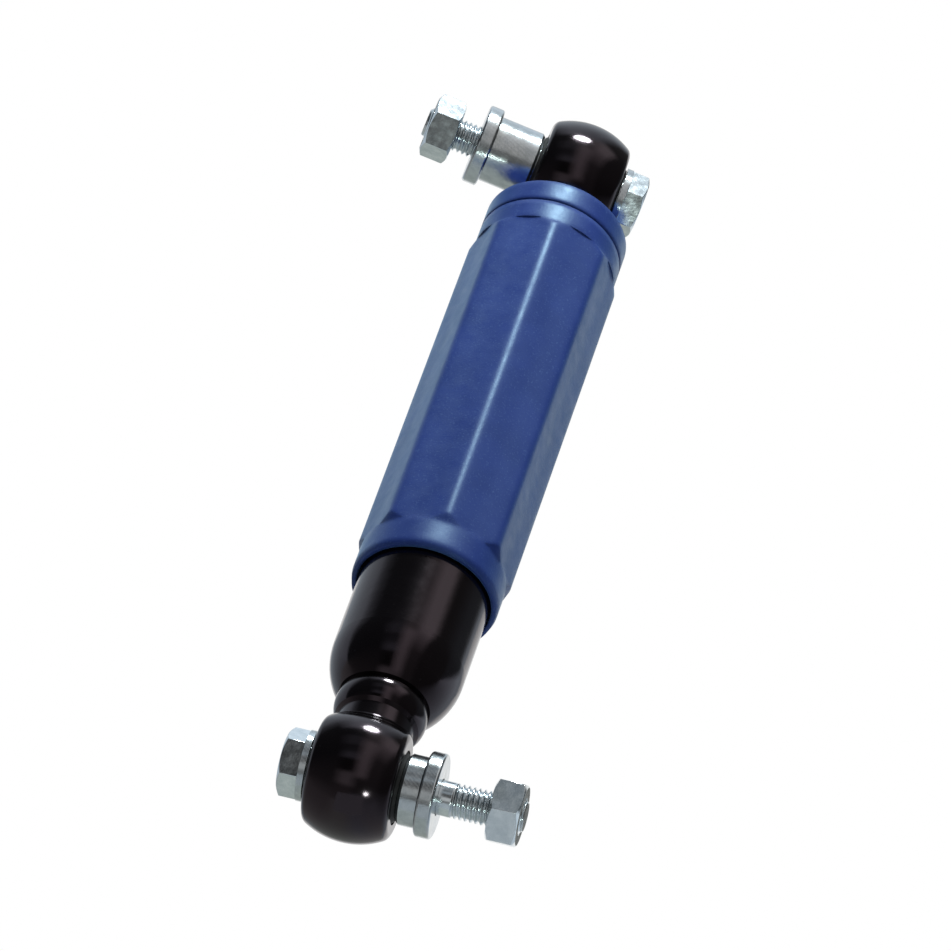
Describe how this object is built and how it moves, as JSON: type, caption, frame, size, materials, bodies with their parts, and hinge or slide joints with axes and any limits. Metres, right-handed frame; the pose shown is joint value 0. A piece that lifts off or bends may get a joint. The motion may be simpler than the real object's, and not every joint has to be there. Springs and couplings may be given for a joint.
{
  "type": "trailer shock absorber",
  "caption": "Telescopic twin-tube axle damper with a rubber-bushed eye, through-bolt and flanged spacer at each end and an octagonal dust cover.",
  "frame": {"origin": "centre of the lower eye, on the axis of its bolt", "axes": "+Z along the damper from the lower (reservoir) eye to the upper (rod) eye; +X along the lower bolt from its head to its nut"},
  "size_m": [0.095, 0.0446, 0.2814],
  "materials": {
    "painted_black": "gloss",
    "moulded_blue": "satin",
    "zinc_plate": "satin",
    "bare_steel": "satin",
    "chromed_rod": "gloss",
    "sintered_iron": "matte",
    "spring_steel": "satin",
    "bearing_bronze": "satin",
    "filled_ptfe": "matte",
    "bush_rubber": "matte",
    "seal_rubber": "matte"
  },
  "bodies": {
    "lower_stack": {"lower_bush_sleeve": "zinc_plate", "lower_washer": "zinc_plate", "lower_spacer": "zinc_plate"},
    "lower_bolt": {"lower_bolt": "zinc_plate"},
    "lower_nut": {"lower_nut": "zinc_plate"},
    "damper_tube": {"lower_eye": "painted_black", "lower_bush": "bush_rubber", "reservoir_tube": "painted_black", "pressure_tube": "bare_steel", "base_valve_body": "sintered_iron", "base_valve_disc": "spring_steel", "base_valve_spring": "spring_steel", "base_valve_pin": "bare_steel", "rod_guide": "sintered_iron", "guide_bush": "bearing_bronze", "rod_seal": "seal_rubber"},
    "piston_ring": {"piston_ring": "filled_ptfe"},
    "rod": {"piston_rod": "chromed_rod", "piston": "sintered_iron", "rebound_disc": "spring_steel", "check_disc": "spring_steel", "check_spring": "spring_steel", "piston_nut": "bare_steel", "stop_collar": "bare_steel", "stop_rubber": "seal_rubber", "cover_plate": "bare_steel", "dust_cover": "moulded_blue", "cover_cap": "moulded_blue", "upper_eye": "painted_black", "upper_bush": "bush_rubber"},
    "upper_stack": {"upper_bush_sleeve": "zinc_plate", "upper_washer": "zinc_plate", "upper_spacer": "zinc_plate"},
    "upper_bolt": {"upper_bolt": "zinc_plate"},
    "upper_nut": {"upper_nut": "zinc_plate"}
  },
  "joints": [
    {"name": "lower_eye_pivot", "type": "hinge", "parent": "lower_stack", "child": "damper_tube", "pos_m": [0, 0, 0], "axis": [1, 0, 0], "range_deg": [-12, 12], "stiffness_Nm_per_rad": 45},
    {"name": "lower_bolt_turn", "type": "hinge", "parent": "lower_stack", "child": "lower_bolt", "pos_m": [0, 0, 0], "axis": [1, 0, 0], "range_deg": [-2424, 2568]},
    {"name": "lower_nut_travel", "type": "slide", "parent": "lower_stack", "child": "lower_nut", "axis": [1, 0, 0], "range_m": [-0.0106, 0.01]},
    {"name": "rod_slide", "type": "slide", "parent": "damper_tube", "child": "piston_ring", "axis": [0, 0, 1], "range_m": [-0.02, 0.065]},
    {"name": "rod_swivel", "type": "hinge", "parent": "piston_ring", "child": "rod", "pos_m": [0, 0, 0], "axis": [0, 0, 1], "continuous": true},
    {"name": "upper_eye_pivot", "type": "hinge", "parent": "rod", "child": "upper_stack", "pos_m": [0, 0, 0.245], "axis": [-0.9715, -0.2368, 0], "range_deg": [-12, 12], "stiffness_Nm_per_rad": 45},
    {"name": "upper_bolt_turn", "type": "hinge", "parent": "upper_stack", "child": "upper_bolt", "pos_m": [0, 0, 0.245], "axis": [-0.9715, -0.2368, 0], "range_deg": [-2472, 1512]},
    {"name": "upper_nut_travel", "type": "slide", "parent": "upper_stack", "child": "upper_nut", "axis": [-0.9715, -0.2368, 0], "range_m": [-0.0062, 0.0102]}
  ],
  "couplings": [
    {"joint": "lower_bolt_turn", "follows": "lower_nut_travel", "rad_per_m": -4188.8},
    {"joint": "upper_bolt_turn", "follows": "upper_nut_travel", "rad_per_m": -4188.8}
  ]
}
